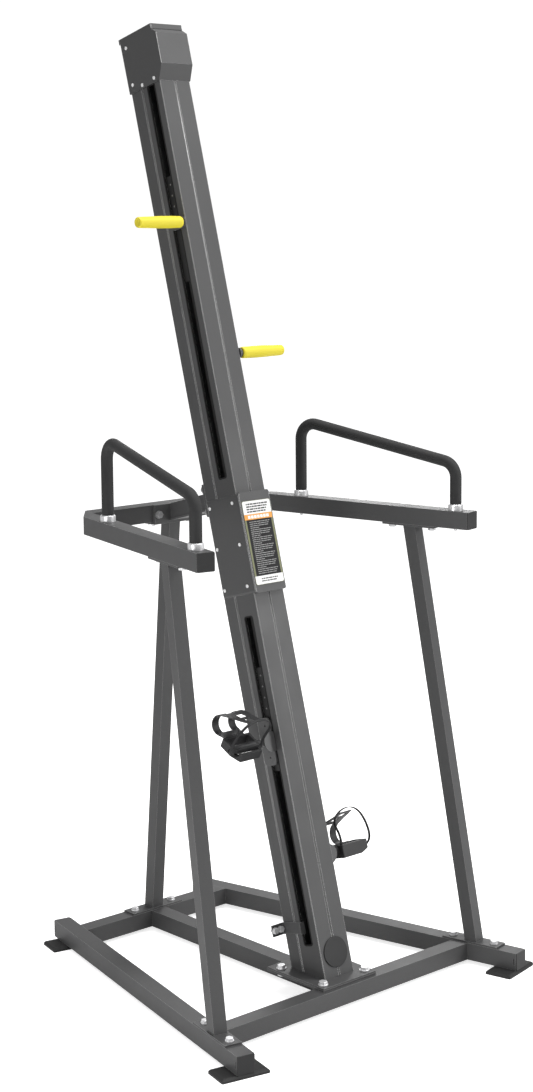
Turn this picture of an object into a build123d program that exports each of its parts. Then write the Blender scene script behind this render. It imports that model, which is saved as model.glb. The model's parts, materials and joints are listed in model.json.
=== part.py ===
from build123d import *
import math
import os

os.makedirs("parts", exist_ok=True)

# Vertical climber machine, millimetres. +X is the user's right, +Y points from the
# user to the machine, +Z is up. The origin is on the floor under the machine's centre.

# ---- base frame ---------------------------------------------------------------
TUBE = 45.0            # outside size of the square frame tube
TUBE_WALL = 3.0
RAIL_FRONT_X = 464.3   # centreline of a side rail at its front end
RAIL_REAR_X = 234.0    # and at its rear end: the two rails spread toward the user
RAIL_FRONT_Y = -510.4
RAIL_REAR_Y = 522.0
RAIL_BOTTOM_Z = 10.0
RAIL_TOP_Z = RAIL_BOTTOM_Z + TUBE
CAP_PLATE = 3.0        # plate of a plastic tube end cap
CAP_PLUG = 12.0        # its plug inside the tube
FRONT_CROSS_Y = -371.0  # front face of the front cross tube
REAR_CROSS_Y = 402.4    # front face of the rear cross tube
CLIP_SLOT = (3.0, 18.0)  # width and height of the end cap's clip slot
CLIP_SLOT_S = 9.0

FOOT_ACROSS = 124.0
FOOT_ALONG = 74.0
FOOT_BEVEL = 5.0
FOOT_FRONT_S = 34.0    # distance of a front foot's middle from the rail's front end
FOOT_REAR_S = 1003.0

# ---- legs and their plates ------------------------------------------------------
LEG = 35.0
LEG_WALL = 2.5
PLATE = (165.0, 44.0, 5.0)
PLATE_BOLT_OFFSET = 62.0
HEAD_PLATE_LENGTH = 156.0
HEAD_BOLT_OFFSET = 60.5
LEG_FOOT_S = 141.5     # leg axis at the lower plate, along the rail
LEG_HEAD_S = 338.0     # and at the upper plate
FOOT_PLATE_S = 143.0
HEAD_PLATE_S = 339.5
REAR_LEG_FOOT_Y = 422.4
REAR_LEG_HEAD_Y = 323.6

# ---- waist frame ----------------------------------------------------------------
ARM_TOP_Z = 1187.0
ARM_BOTTOM_Z = ARM_TOP_Z - TUBE
ARM_OUTSET = 6.5       # the arms run this far outside the rails below them
ARM_FRONT_S = 160.5
ARM_OUTER_REAR_S = 791.0
ARM_HOLLOW_REAR_S = 786.0
CROSSBAR_FRONT_Y = 302.8
CROSSBAR_REAR_Y = CROSSBAR_FRONT_Y + TUBE

# ---- grab bars --------------------------------------------------------------------
BAR_RADIUS = 11.0
FOAM_RADIUS = 15.0
COLLAR_RADIUS = 19.0
COLLAR_HEIGHT = 16.0
BAR_REAR_S = 691.5
BAR_FRONT_S = 207.5
BAR_REAR_Z = 1390.0    # corner height of the bar's centreline at the rear post
BAR_FRONT_Z = 1306.0
BAR_BEND = 42.0
STUD_RADIUS = 3.5

# ---- mast ---------------------------------------------------------------------------
LEAN = 15.31           # lean of the mast away from the user, degrees
MAST_FOOT_Y = -323.3   # front face of the mast at its foot
MAST_FOOT_Z = 65.0
MAST_WIDTH = 96.0
MAST_DEPTH = 122.0
MAST_WALL = 4.0
MAST_TOP = 2425.0
SLOT_FRONT = 26.0      # slot edges measured back from the front face
SLOT_REAR = 53.0
SLOT_MID = (SLOT_FRONT + SLOT_REAR) / 2
PEDAL_SLOT = (89.0, 915.0)
HANDLE_SLOT = (1271.0, 2330.0)
SIDE_GROOVE_DEPTH_POS = 77.5
GROOVE_WIDTH = 6.0
GROOVE_CUT = 2.0

MOUNT_PLATE_X = 88.0
MOUNT_PLATE_Y = (-361.2, -152.2)
MOUNT_PLATE_THICK = 5.0
MOUNT_BOLT_X = 70.0
MOUNT_BOLT_FRONT_Y = -339.2
MOUNT_BOLT_REAR_Y = -184.2

# ---- mast covers --------------------------------------------------------------------
COVER_SHEET = 2.0
SLEEVE_SPAN = (970.0, 1225.0)
SLEEVE_SIDE = 3.0
SLEEVE_REAR = 118.0
SLEEVE_PROUD = 11.4
SLEEVE_CHAMFER = 2.0
SLEEVE_CORNER = 9.0
SLEEVE_SCREW_T = (992.0, 1097.5, 1203.0)
SLEEVE_SCREW_D = (17.5, 108.5)
LABEL_HALF_WIDTH = 46.0
LABEL_SPAN = (989.0, 1201.0)
CAP_SPAN = (2288.0, 2434.0)
CAP_CHAMFER_T = 2406.0
CAP_FACET_T = 2326.0
CAP_PROUD = 21.5
CAP_REAR_LOW = 126.0
CAP_REAR_HIGH = 128.0
CAP_LID_FRONT = -6.0
CAP_LID_REAR = 133.0
CAP_LID_HEIGHT = 13.0
CAP_HALF_WIDTH = 50.3
CAP_SCREWS = ((2405.0, 107.0), (2299.0, 18.0), (2308.0, 107.0), (2296.0, 69.0))
SCREW_HEAD_RADIUS = 4.5
SCREW_HEAD_HEIGHT = 2.0
SCREW_RADIUS = 2.0
ROUND_CAP_RADIUS = 38.0
ROUND_CAP_T = 59.6

# ---- stay between mast and crossbar -----------------------------------------------------
STAY_T = 1226.0
STAY_HALF_WIDTH = 22.5
STAY_HALF_HEIGHT = 20.0
STAY_FLANGE = 8.0
STAY_LEDGE_HALF_WIDTH = 26.0
STAY_MAST_FLANGE_T = 42.0
STAY_MAST_FLANGE_X = 47.0
STAY_MAST_BOLT = (37.0, 29.0)
STAY_REAR_FLANGE_X = 74.0
STAY_REAR_BOLT_X = 62.0

# ---- stop brackets ------------------------------------------------------------------------
STOP_SPAN = (118.0, 147.0)
STOP_THICK = 3.5
STOP_FRONT = 42.0
STOP_LIP_X = 62.0
STOP_EAR_X = 86.0
STOP_BOLT_X = (60.5, 78.5)

# ---- chain drive inside the mast -----------------------------------------------------------
PULLEY_LOW_T = 60.0
PULLEY_HIGH_T = 2375.0
PULLEY_GROOVE_RADIUS = 20.0
PULLEY_FLANGE_RADIUS = 25.5
PULLEY_WIDTH = 13.0
PULLEY_HOLE_CIRCLE = 14.0
PULLEY_HOLE_RADIUS = 3.0
CHAIN_INNER_RADIUS = 20.3
CHAIN_OUTER_RADIUS = 24.3
CHAIN_WIDTH = 6.0
SHAFT_RADIUS = 8.0
RUNNING_FIT = 0.05
PIECE_GAP = 0.3

# ---- carriages -------------------------------------------------------------------------------
PEDAL_MID_T = 447.0    # pedal spindle when both sides are level
HANDLE_MID_T = 1751.0  # handle axis when both sides are level
REST_OFFSET = 154.0    # the left side stands this far above level, the right below
GRIP_STEP = 17.0       # the two brackets are one part turned over, so the grips step apart
SLIDE_X = (27.0, 43.0)
SLIDE_D = (24.0, 55.0)
LINK_X = (30.0, 38.0)
LINK_D = (35.0, 44.0)
HANDLE_SLIDE = (-128.0, 144.0)
PEDAL_SLIDE = (-76.0, 186.0)
SIDE_GAP_X = 49.2      # inner face of the plates that run along the mast's side
SIDE_PLATE = 4.0
HANDLE_AXIS_D = 7.0
HANDLE_BOSS_RADIUS = 9.0
GRIP_SPAN = (59.0, 195.5)
GRIP_RADIUS = 15.3
GRIP_END_RADIUS = 13.9
GRIP_END_WALL = 8.0
PEDAL_PLATE_D = (27.0, 73.0)
PEDAL_PLATE_HALF = 60.0
PEDAL_BOSS_RADIUS = 12.5
PEDAL_BOSS_END = 62.0
PEDAL_FLANGE_D = (22.5, 28.0)  # rounded flange in front of the boss
PEDAL_FLANGE_X = 58.0
PEDAL_FLANGE_RADIUS = 25.0
PEDAL_HOLE_STEP = 40.0
PEDAL_HOLE_D = 46.5
PEDAL_HOLE_RADIUS = 2.6

# ---- pedals (frame: x outward along the spindle, y toward the toe, z up) -----------------------
SPINDLE_RADIUS = 7.0
SPINDLE_END = 172.0
SPINDLE_COLLAR_RADIUS = 10.5
SPINDLE_COLLAR_LENGTH = 8.0
SPINDLE_HEX_RADIUS = 8.8
SPINDLE_HEX_LENGTH = 5.0
PEDAL_X = (97.0, 183.0)
PEDAL_Y = (-26.0, 36.0)
PEDAL_TOP = 12.0
PEDAL_BOTTOM = -20.0
PEDAL_WALL = 6.0
PEDAL_END_BOTTOM = -9.0    # the outer end stops this far down
PEDAL_END_FLOOR_X = 160.0  # where the sloping floor of the outer end starts
PEDAL_CORNER = (19.0, 20.0)  # cut corner of the deep side, along x and y
PEDAL_LEDGE = (4.0, 18.0)    # the deep side's wall top, and how far in the tread starts
PEDAL_TREAD = 5.0
PEDAL_GROOVE = (1.6, 1.4)  # width and depth of the groove round the rim
PEDAL_SLOT_Z = (-4.0, 5.0)
PEDAL_SLOT_Y = (-3.0, 5.0)
PEDAL_STRAP_SLOT = 13.0
PEDAL_HUB_RADIUS = 11.5
LEFT_PEDAL_PITCH = 27.0
RIGHT_PEDAL_PITCH = -16.0
CAGE_X = (109.0, 182.0)
CAGE_GAP = (130.0, 161.0)  # opening between the two bands round the toes
CAGE_PATH = [
    (37.5, 10.0), (58.0, 7.0), (76.0, 9.0), (86.0, 20.0), (87.5, 34.0),
    (80.0, 50.0), (62.0, 62.0), (40.0, 71.0), (14.0, 80.0), (-13.0, 91.0),
]
CAGE_THICK = 2.4
CAGE_REAR_X = (119.0, 161.0)  # the top narrows toward its rear edge
CAGE_TAPER_Y = (-14.5, 60.0)
CAGE_TOP_WINDOWS = ((-4.0, 18.0), (29.0, 50.0))
CAGE_BASE_END = 61.0
STRAP_PATH = [
    (168.0, -2.0), (190.0, 1.0), (199.0, 12.0), (201.0, 28.0), (196.0, 53.0), (185.0, 77.0), (171.0, 92.0),
    (152.0, 100.0), (131.0, 100.0), (111.0, 93.0), (97.0, 81.0), (93.0, 67.0), (99.0, 48.0),
    (102.0, 34.0), (100.5, 10.0),
]
STRAP_THICK = 2.0
STRAP_Y = -18.5
STRAP_WIDTH = 7.0

# ---- bolts: shank radius, half width across corners, head height, washer radius ------------------
M8 = (4.0, 8.4, 5.6, 8.6)
M10 = (5.0, 9.8, 6.4, 10.5)
M12 = (6.0, 11.0, 7.5, 12.5)
WASHER = 2.0


def block(x, y, z):
    """Box between (low, high) pairs along each axis."""
    size = [high - low for low, high in (x, y, z)]
    middle = [(high + low) / 2 for low, high in (x, y, z)]
    return Pos(*middle) * Box(*size)


def half_turn(part):
    """The same piece on the other side of the machine."""
    return mirror(part, about=Plane.YZ)


SPLAY = math.degrees(math.atan2(RAIL_FRONT_X - RAIL_REAR_X, RAIL_REAR_Y - RAIL_FRONT_Y))
RAIL_LENGTH = math.hypot(RAIL_FRONT_X - RAIL_REAR_X, RAIL_REAR_Y - RAIL_FRONT_Y)

# Right-hand rail frame: x across the rail (outward), y along it toward the rear, z up.
RAIL = Location((RAIL_FRONT_X, RAIL_FRONT_Y, 0), (0, 0, SPLAY))

# Mast frame: x across, y from the front face to the rear, z along the mast.
MAST = Location((0, MAST_FOOT_Y, MAST_FOOT_Z), (-LEAN, 0, 0))


def rail_point(along, across=0.0):
    """World x, y of a point of the right-hand rail frame."""
    turn = math.radians(SPLAY)
    x = RAIL_FRONT_X - along * math.sin(turn) + across * math.cos(turn)
    y = RAIL_FRONT_Y + along * math.cos(turn) + across * math.sin(turn)
    return x, y


def on_rail(part):
    return RAIL * part


def on_waist(part):
    """Over the rail, moved out to the arm's centreline."""
    return RAIL * Pos(ARM_OUTSET, 0, 0) * part


def on_mast(part):
    return MAST * part


def hollow_block(x, y, z, wall, open_axis):
    """Tube of the given outer box, open along one axis."""
    inner = []
    for axis, (low, high) in enumerate((x, y, z)):
        if axis == open_axis:
            inner.append((low - 1, high + 1))
        else:
            inner.append((low + wall, high - wall))
    return block(x, y, z) - block(*inner)


def rod_across(radius, span):
    """Round bar along the X axis between two positions."""
    low, high = span
    return Pos((low + high) / 2, 0, 0) * Rot(0, 90, 0) * Cylinder(radius, high - low)


def bolt(size, grip):
    """Hex bolt with washer: head above z = 0, shank below it."""
    shank_radius, hex_radius, head_height, washer_radius = size
    washer = Pos(0, 0, WASHER / 2) * Cylinder(washer_radius, WASHER)
    head = Pos(0, 0, WASHER) * extrude(RegularPolygon(hex_radius, 6), head_height)
    head = chamfer(head.edges().group_by(Axis.Z)[-1], 0.8)
    shank = Pos(0, 0, -grip / 2) * Cylinder(shank_radius, grip)
    return washer + head + shank


def bolt_hole(size, depth):
    """Clearance hole below z = 0 for a bolt of this size."""
    return Pos(0, 0, -depth / 2) * Cylinder(size[0] + RUNNING_FIT, depth + 2)


# ---- base frame ------------------------------------------------------------------------

FOOT_SEAT_Z = RAIL_TOP_Z + PLATE[2]      # top of the lower leg plates
HEAD_SEAT_Z = ARM_BOTTOM_Z - PLATE[2]    # underside of the upper leg plates
SIDES = (-1, 1)

FOOT_BOLTS = [Location((0, FOOT_PLATE_S + side * PLATE_BOLT_OFFSET, FOOT_SEAT_Z)) for side in SIDES]
HEAD_BOLTS = [
    Location((0, HEAD_PLATE_S + side * HEAD_BOLT_OFFSET, HEAD_SEAT_Z), (180, 0, 0)) for side in SIDES
]
REAR_FOOT_BOLTS = [
    Location((side * PLATE_BOLT_OFFSET, REAR_CROSS_Y + TUBE / 2, FOOT_SEAT_Z)) for side in SIDES
]
REAR_HEAD_BOLTS = [
    Location((side * PLATE_BOLT_OFFSET, CROSSBAR_FRONT_Y + TUBE / 2, HEAD_SEAT_Z), (180, 0, 0))
    for side in SIDES
]
MOUNT_BOLTS = [
    Location((side * MOUNT_BOLT_X, y, MAST_FOOT_Z))
    for side in SIDES
    for y in (MOUNT_BOLT_FRONT_Y, MOUNT_BOLT_REAR_Y)
]
BOLT_GRIP = 14.0


def side_rail():
    span = (CAP_PLATE, RAIL_LENGTH - CAP_PLATE)
    rail = hollow_block((-TUBE / 2, TUBE / 2), span, (RAIL_BOTTOM_Z, RAIL_TOP_Z), TUBE_WALL, 1)
    width, height = CLIP_SLOT
    middle_z = RAIL_BOTTOM_Z + TUBE / 2
    for along in (CLIP_SLOT_S, RAIL_LENGTH - CLIP_SLOT_S):
        rail -= Pos(0, along, middle_z) * Box(TUBE + 2, width, height)
    for place in FOOT_BOLTS:
        rail -= place * bolt_hole(M10, BOLT_GRIP)
    return on_rail(rail)


def rail_caps():
    """Front and rear plastic caps of the right-hand rail."""
    caps = []
    inside = TUBE - 2 * TUBE_WALL - 0.4
    middle_z = RAIL_BOTTOM_Z + TUBE / 2
    for face, inward in ((CAP_PLATE / 2, 1), (RAIL_LENGTH - CAP_PLATE / 2, -1)):
        plate = Pos(0, face, middle_z) * Box(TUBE, CAP_PLATE, TUBE)
        plate = fillet(plate.edges().filter_by(Axis.Y), 3)
        plug_y = face + inward * (CAP_PLATE + CAP_PLUG) / 2
        plug = Pos(0, plug_y, middle_z) * Box(inside, CAP_PLUG, inside)
        caps.append(on_rail(plate + plug))
    return caps


def cross_tube(front_y):
    """Tube between the side rails, its ends cut to the rails' inner faces."""
    across = (-RAIL_FRONT_X, RAIL_FRONT_X)
    tube = hollow_block(across, (front_y, front_y + TUBE), (RAIL_BOTTOM_Z, RAIL_TOP_Z), TUBE_WALL, 0)
    beyond = on_rail(block((-TUBE / 2, RAIL_FRONT_X), (0, RAIL_LENGTH), (0, RAIL_TOP_Z + 1)))
    return tube - beyond - half_turn(beyond)


def front_cross_tube():
    tube = cross_tube(FRONT_CROSS_Y)
    for place in MOUNT_BOLTS:
        tube -= place * bolt_hole(M12, 2 * BOLT_GRIP)
    return tube


def rear_cross_tube():
    tube = cross_tube(REAR_CROSS_Y)
    for place in REAR_FOOT_BOLTS:
        tube -= place * bolt_hole(M10, BOLT_GRIP)
    return tube


def centre_tube():
    span = (FRONT_CROSS_Y + TUBE, REAR_CROSS_Y)
    return hollow_block((-TUBE / 2, TUBE / 2), span, (RAIL_BOTTOM_Z, RAIL_TOP_Z), TUBE_WALL, 1)


def rubber_foot(along):
    foot = Pos(0, along, RAIL_BOTTOM_Z / 2) * Box(FOOT_ACROSS, FOOT_ALONG, RAIL_BOTTOM_Z)
    foot = chamfer(foot.edges().group_by(Axis.Z)[-1], FOOT_BEVEL)
    foot = fillet(foot.edges().group_by(Axis.Z)[1].filter_by(Axis.Z), 4)
    return on_rail(foot)


# ---- legs ----------------------------------------------------------------------------------

def leaning_tube(foot, head):
    """Square tube between two points, cut level at both ends."""
    half = LEG / 2
    run = [high - low for low, high in zip(foot, head)]
    length = math.hypot(*run)
    axis = Plane(origin=foot, x_dir=(run[2], 0, -run[0]), z_dir=run)
    tube = axis * hollow_block((-half, half), (-half, half), (-half, length + half), LEG_WALL, 2)
    reach_x = (min(foot[0], head[0]) - LEG, max(foot[0], head[0]) + LEG)
    reach_y = (min(foot[1], head[1]) - LEG, max(foot[1], head[1]) + LEG)
    return tube & block(reach_x, reach_y, (foot[2], head[2]))


def side_leg():
    foot = (0, LEG_FOOT_S, FOOT_SEAT_Z)
    head = (ARM_OUTSET, LEG_HEAD_S, HEAD_SEAT_Z)
    return on_rail(leaning_tube(foot, head))


def rear_leg():
    foot = (0, REAR_LEG_FOOT_Y, FOOT_SEAT_Z)
    head = (0, REAR_LEG_HEAD_Y, HEAD_SEAT_Z)
    return leaning_tube(foot, head)


def bolted_plate(middle, size, bottom, seats):
    """Flat plate centred on a plan point, bored for the bolts at the given seats."""
    plate = Pos(*middle, bottom + PLATE[2] / 2) * Box(*size, PLATE[2])
    for seat in seats:
        plate -= seat * bolt_hole(M10, BOLT_GRIP)
    return plate


def leg_plates():
    """Lower and upper plates of the three legs."""
    length, width, _ = PLATE
    rear_foot_y = REAR_CROSS_Y + TUBE / 2
    rear_head_y = CROSSBAR_FRONT_Y + TUBE / 2
    foot = bolted_plate((0, FOOT_PLATE_S), (width, length), RAIL_TOP_Z, FOOT_BOLTS)
    head = bolted_plate((0, HEAD_PLATE_S), (width, HEAD_PLATE_LENGTH), HEAD_SEAT_Z, HEAD_BOLTS)
    rear_foot = bolted_plate((0, rear_foot_y), (length, width), RAIL_TOP_Z, REAR_FOOT_BOLTS)
    rear_head = bolted_plate((0, rear_head_y), (length, width), HEAD_SEAT_Z, REAR_HEAD_BOLTS)
    return both_sides([on_rail(foot), on_waist(head)]) + [rear_foot, rear_head]


def leg_bolts():
    feet = [on_rail(place * bolt(M10, BOLT_GRIP)) for place in FOOT_BOLTS]
    heads = [on_waist(place * bolt(M10, BOLT_GRIP)) for place in HEAD_BOLTS]
    rear = [place * bolt(M10, BOLT_GRIP) for place in REAR_FOOT_BOLTS + REAR_HEAD_BOLTS]
    return both_sides(feet + heads) + rear


# ---- waist frame ---------------------------------------------------------------------------

def arm_outline():
    """Plan of the right-hand arm: square front end, rear outer corner cut diagonally."""
    outer = ARM_OUTSET + TUBE / 2
    inner = ARM_OUTSET - TUBE / 2
    turn = math.radians(SPLAY)
    rear_inner_s = (CROSSBAR_REAR_Y - RAIL_FRONT_Y - inner * math.sin(turn)) / math.cos(turn)
    corners = [
        rail_point(ARM_FRONT_S, outer),
        rail_point(ARM_FRONT_S, inner),
        rail_point(rear_inner_s, inner),
        rail_point(ARM_OUTER_REAR_S, outer),
    ]
    outline = make_face(Polyline(*corners, close=True))
    return Pos(0, 0, ARM_BOTTOM_Z) * extrude(outline, TUBE, dir=(0, 0, 1))


def grab_stud_holes():
    return [
        on_waist(Pos(0, along, ARM_BOTTOM_Z + TUBE / 2) * Cylinder(STUD_RADIUS + RUNNING_FIT, TUBE + 4))
        for along in (BAR_FRONT_S, BAR_REAR_S)
    ]


def arm():
    half = TUBE / 2 - TUBE_WALL
    bore = block(
        (-half, half),
        (ARM_FRONT_S - 1, ARM_HOLLOW_REAR_S),
        (ARM_BOTTOM_Z + TUBE_WALL, ARM_TOP_Z - TUBE_WALL),
    )
    body = arm_outline() - on_waist(bore)
    for place in HEAD_BOLTS:
        body -= on_waist(place * bolt_hole(M10, BOLT_GRIP))
    for hole in grab_stud_holes():
        body -= hole
    return body


def arm_cap():
    """Plastic cap at the front end of the right-hand arm."""
    middle_z = ARM_BOTTOM_Z + TUBE / 2
    inside = TUBE - 2 * TUBE_WALL - 0.4
    plate = Pos(0, ARM_FRONT_S - CAP_PLATE / 2, middle_z) * Box(TUBE, CAP_PLATE, TUBE)
    plate = fillet(plate.edges().filter_by(Axis.Y), 3)
    plug = Pos(0, ARM_FRONT_S + CAP_PLUG / 2, middle_z) * Box(inside, CAP_PLUG, inside)
    return on_waist(plate + plug)


def crossbar():
    half_span = rail_point(ARM_OUTER_REAR_S)[0]
    bar = block((-half_span, half_span), (CROSSBAR_FRONT_Y, CROSSBAR_REAR_Y), (ARM_BOTTOM_Z, ARM_TOP_Z))
    bore = block(
        (-half_span, half_span),
        (CROSSBAR_FRONT_Y + TUBE_WALL, CROSSBAR_REAR_Y - TUBE_WALL),
        (ARM_BOTTOM_Z + TUBE_WALL, ARM_TOP_Z - TUBE_WALL),
    )
    bar -= bore
    beyond = block((-TUBE / 2, TUBE * 9), (ARM_FRONT_S, RAIL_LENGTH), (ARM_BOTTOM_Z - 1, ARM_TOP_Z + 1))
    beyond = on_waist(beyond)
    bar -= beyond
    bar -= half_turn(beyond)
    for place in REAR_HEAD_BOLTS:
        bar -= place * bolt_hole(M10, BOLT_GRIP)
    for place in stay_rear_places():
        bar -= place * bolt_hole(M10, 20)
    return bar


# ---- grab bars -----------------------------------------------------------------------------

def grab_path(start_z):
    """Centreline of the bar in the upright plane over the arm."""
    corners = [
        (0, BAR_REAR_S, start_z),
        (0, BAR_REAR_S, BAR_REAR_Z),
        (0, BAR_FRONT_S, BAR_FRONT_Z),
        (0, BAR_FRONT_S, start_z),
    ]
    return FilletPolyline(*corners, radius=BAR_BEND)


def grab_bar():
    path = grab_path(ARM_TOP_Z)
    section = Pos(0, BAR_REAR_S, ARM_TOP_Z) * Circle(BAR_RADIUS)
    bar = sweep(section, path=path)
    for along in (BAR_FRONT_S, BAR_REAR_S):
        bar -= Pos(0, along, ARM_TOP_Z + 6) * Cylinder(STUD_RADIUS + RUNNING_FIT, 13)
    return on_waist(bar)


def grab_foam():
    start = ARM_TOP_Z + COLLAR_HEIGHT
    path = grab_path(start)
    section = Pos(0, BAR_REAR_S, start) * (Circle(FOAM_RADIUS) - Circle(BAR_RADIUS + RUNNING_FIT))
    return on_waist(sweep(section, path=path))


def grab_collars():
    ring = Cylinder(COLLAR_RADIUS, COLLAR_HEIGHT) - Cylinder(BAR_RADIUS + RUNNING_FIT, COLLAR_HEIGHT + 1)
    ring = chamfer(ring.edges().group_by(Axis.Z)[-1].sort_by(SortBy.RADIUS)[-1], 2)
    middle = ARM_TOP_Z + COLLAR_HEIGHT / 2
    return [on_waist(Pos(0, along, middle) * ring) for along in (BAR_FRONT_S, BAR_REAR_S)]


def grab_studs():
    length = TUBE + 18
    stud = Cylinder(STUD_RADIUS, length)
    middle = ARM_TOP_Z + 10 - length / 2
    return [on_waist(Pos(0, along, middle) * stud) for along in (BAR_FRONT_S, BAR_REAR_S)]


# ---- mast -----------------------------------------------------------------------------------

def mast_section():
    """Cross-section of the mast box with its decorative V grooves."""
    outer = Pos(0, MAST_DEPTH / 2) * RectangleRounded(MAST_WIDTH, MAST_DEPTH, 2)
    inner = Pos(0, MAST_DEPTH / 2) * Rectangle(MAST_WIDTH - 2 * MAST_WALL, MAST_DEPTH - 2 * MAST_WALL)
    section = outer - inner
    half = GROOVE_WIDTH / 2
    section -= make_face(Polyline((-half, -0.1), (half, -0.1), (0, GROOVE_CUT), close=True))
    for side in (-1, 1):
        edge = side * (MAST_WIDTH / 2 + 0.1)
        tip = side * (MAST_WIDTH / 2 - GROOVE_CUT)
        middle = SIDE_GROOVE_DEPTH_POS
        corners = [(edge, middle - half), (edge, middle + half), (tip, middle)]
        section -= make_face(Polyline(*corners, close=True))
    return section


def side_slots(span):
    """Matching slots through both side walls."""
    low, high = span
    cut = Pos(0, SLOT_MID, (low + high) / 2) * Box(MAST_WIDTH + 2, SLOT_REAR - SLOT_FRONT, high - low)
    return fillet(cut.edges().filter_by(Axis.X), 4)


def mast_profile():
    mast = Pos(0, 0, -60) * extrude(mast_section(), MAST_TOP + 60)
    mast -= side_slots(PEDAL_SLOT)
    mast -= side_slots(HANDLE_SLOT)
    for place in stay_mast_places():
        mast -= place * bolt_hole(M10, 16)
    below = Box(2 * MAST_WIDTH, 4 * MAST_DEPTH, 2 * MAST_WIDTH)
    below = Pos(0, MAST_FOOT_Y, MAST_FOOT_Z - MAST_WIDTH) * below
    return on_mast(mast) - below


def mount_plates():
    """Plate welded to the base and the mast's own foot plate on top of it."""
    plates = []
    across = (-MOUNT_PLATE_X, MOUNT_PLATE_X)
    for bottom in (RAIL_TOP_Z, RAIL_TOP_Z + MOUNT_PLATE_THICK):
        plate = block(across, MOUNT_PLATE_Y, (bottom, bottom + MOUNT_PLATE_THICK))
        for place in MOUNT_BOLTS:
            plate -= place * bolt_hole(M12, BOLT_GRIP)
        plates.append(plate)
    return plates


def mount_bolts():
    bolts = [place * bolt(M12, 20) for place in MOUNT_BOLTS]
    nut_radius = M12[1]
    nut_top = RAIL_TOP_Z
    for side in (-1, 1):
        nut = extrude(RegularPolygon(nut_radius, 6), -M12[2]) - Cylinder(M12[0] + RUNNING_FIT, 30)
        bolts.append(Pos(side * MOUNT_BOLT_X, MOUNT_BOLT_REAR_Y, nut_top) * nut)
    return bolts


# ---- mast covers -----------------------------------------------------------------------------

def side_screw_places(points, face_x):
    """Screw seats on both side faces, given as (along, depth) pairs."""
    return [
        Location((side * face_x, depth, along), (0, side * 90, 0))
        for side in (-1, 1)
        for along, depth in points
    ]


def pan_screw():
    head = Pos(0, 0, SCREW_HEAD_HEIGHT / 2) * Cylinder(SCREW_HEAD_RADIUS, SCREW_HEAD_HEIGHT)
    head = fillet(head.edges().group_by(Axis.Z)[-1], 1.2)
    shank = Pos(0, 0, -COVER_SHEET / 2) * Cylinder(SCREW_RADIUS, COVER_SHEET)
    return head + shank


def screw_hole():
    return Pos(0, 0, -SLEEVE_SIDE / 2) * Cylinder(SCREW_RADIUS + RUNNING_FIT, SLEEVE_SIDE + 0.5)


SLEEVE_FACE_X = MAST_WIDTH / 2 + SLEEVE_SIDE
SLEEVE_POINTS = [(along, depth) for along in SLEEVE_SCREW_T for depth in SLEEVE_SCREW_D]
SLEEVE_SCREWS = side_screw_places(SLEEVE_POINTS, SLEEVE_FACE_X)
CAP_SCREW_PLACES = side_screw_places(CAP_SCREWS, CAP_HALF_WIDTH)


def sleeve():
    """Cover round the middle of the mast with a raised box in front."""
    low, high = SLEEVE_SPAN
    edge = SLEEVE_FACE_X
    flat = edge - SLEEVE_CHAMFER
    outline = [
        (-edge, SLEEVE_REAR),
        (-edge, SLEEVE_CHAMFER - SLEEVE_PROUD),
        (-flat, -SLEEVE_PROUD),
        (flat, -SLEEVE_PROUD),
        (edge, SLEEVE_CHAMFER - SLEEVE_PROUD),
        (edge, SLEEVE_REAR),
    ]
    cover = Pos(0, 0, low) * extrude(make_face(Polyline(*outline, close=True)), high - low)
    front_view = RectangleRounded(2 * edge, high - low, SLEEVE_CORNER)
    cover &= Pos(0, 0, (low + high) / 2) * extrude(Plane.XZ * front_view, 2 * SLEEVE_REAR, both=True)
    mast_room = block((-MAST_WIDTH / 2, MAST_WIDTH / 2), (0, SLEEVE_REAR + 1), (low - 1, high + 1))
    half = MAST_WIDTH / 2 - 1
    front_room = block(
        (-half, half), (COVER_SHEET - SLEEVE_PROUD, 1), (low + COVER_SHEET, high - COVER_SHEET)
    )
    cover = cover - mast_room - front_room
    for place in SLEEVE_SCREWS:
        cover -= place * screw_hole()
    return on_mast(cover)


def label_plate():
    low, high = LABEL_SPAN
    plate = Pos(0, -SLEEVE_PROUD - 0.5, (low + high) / 2) * Box(2 * LABEL_HALF_WIDTH, 1.0, high - low)
    return on_mast(fillet(plate.edges().filter_by(Axis.Y), 4))


def cap_outline(inset):
    """Side view of the top cap as (depth, along) corners."""
    low, high = CAP_SPAN
    return [
        (CAP_REAR_LOW - inset, low),
        (CAP_REAR_HIGH - inset, high - inset),
        (inset - 4, high - inset),
        (inset - 4, high - CAP_LID_HEIGHT),
        (inset - CAP_PROUD, CAP_CHAMFER_T - inset / 2),
        (inset - CAP_PROUD, CAP_FACET_T + inset / 2),
        (-0.2, low + inset),
    ]


def top_cap():
    """Folded sheet cap over the mast's head: a bulge in front and a lid with lips."""
    sheet = COVER_SHEET
    half = MAST_WIDTH / 2 + 0.2
    outside = make_face(Polyline(*cap_outline(0), close=True))
    inside = make_face(Polyline(*cap_outline(sheet), close=True))
    outer = extrude(Plane.YZ * outside, CAP_HALF_WIDTH, both=True)
    inner = extrude(Plane.YZ * inside, half, both=True)
    low, high = CAP_SPAN
    lid_x = CAP_HALF_WIDTH - 0.5
    lid = block((-lid_x, lid_x), (CAP_LID_FRONT, CAP_LID_REAR), (high - CAP_LID_HEIGHT, high))
    mast_room = block((-half, half), (-0.2, MAST_DEPTH + 0.2), (low - 1, MAST_TOP + 1))
    cap = outer + lid - inner - mast_room
    for place in CAP_SCREW_PLACES:
        cap -= place * screw_hole()
    return on_mast(cap)


def round_cap():
    disc = Cylinder(ROUND_CAP_RADIUS, CAP_PLATE)
    disc = fillet(disc.edges().group_by(Axis.Z)[-1], 1.2)
    return on_mast(Location((0, -CAP_PLATE / 2, ROUND_CAP_T), (90, 0, 0)) * disc)


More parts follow.
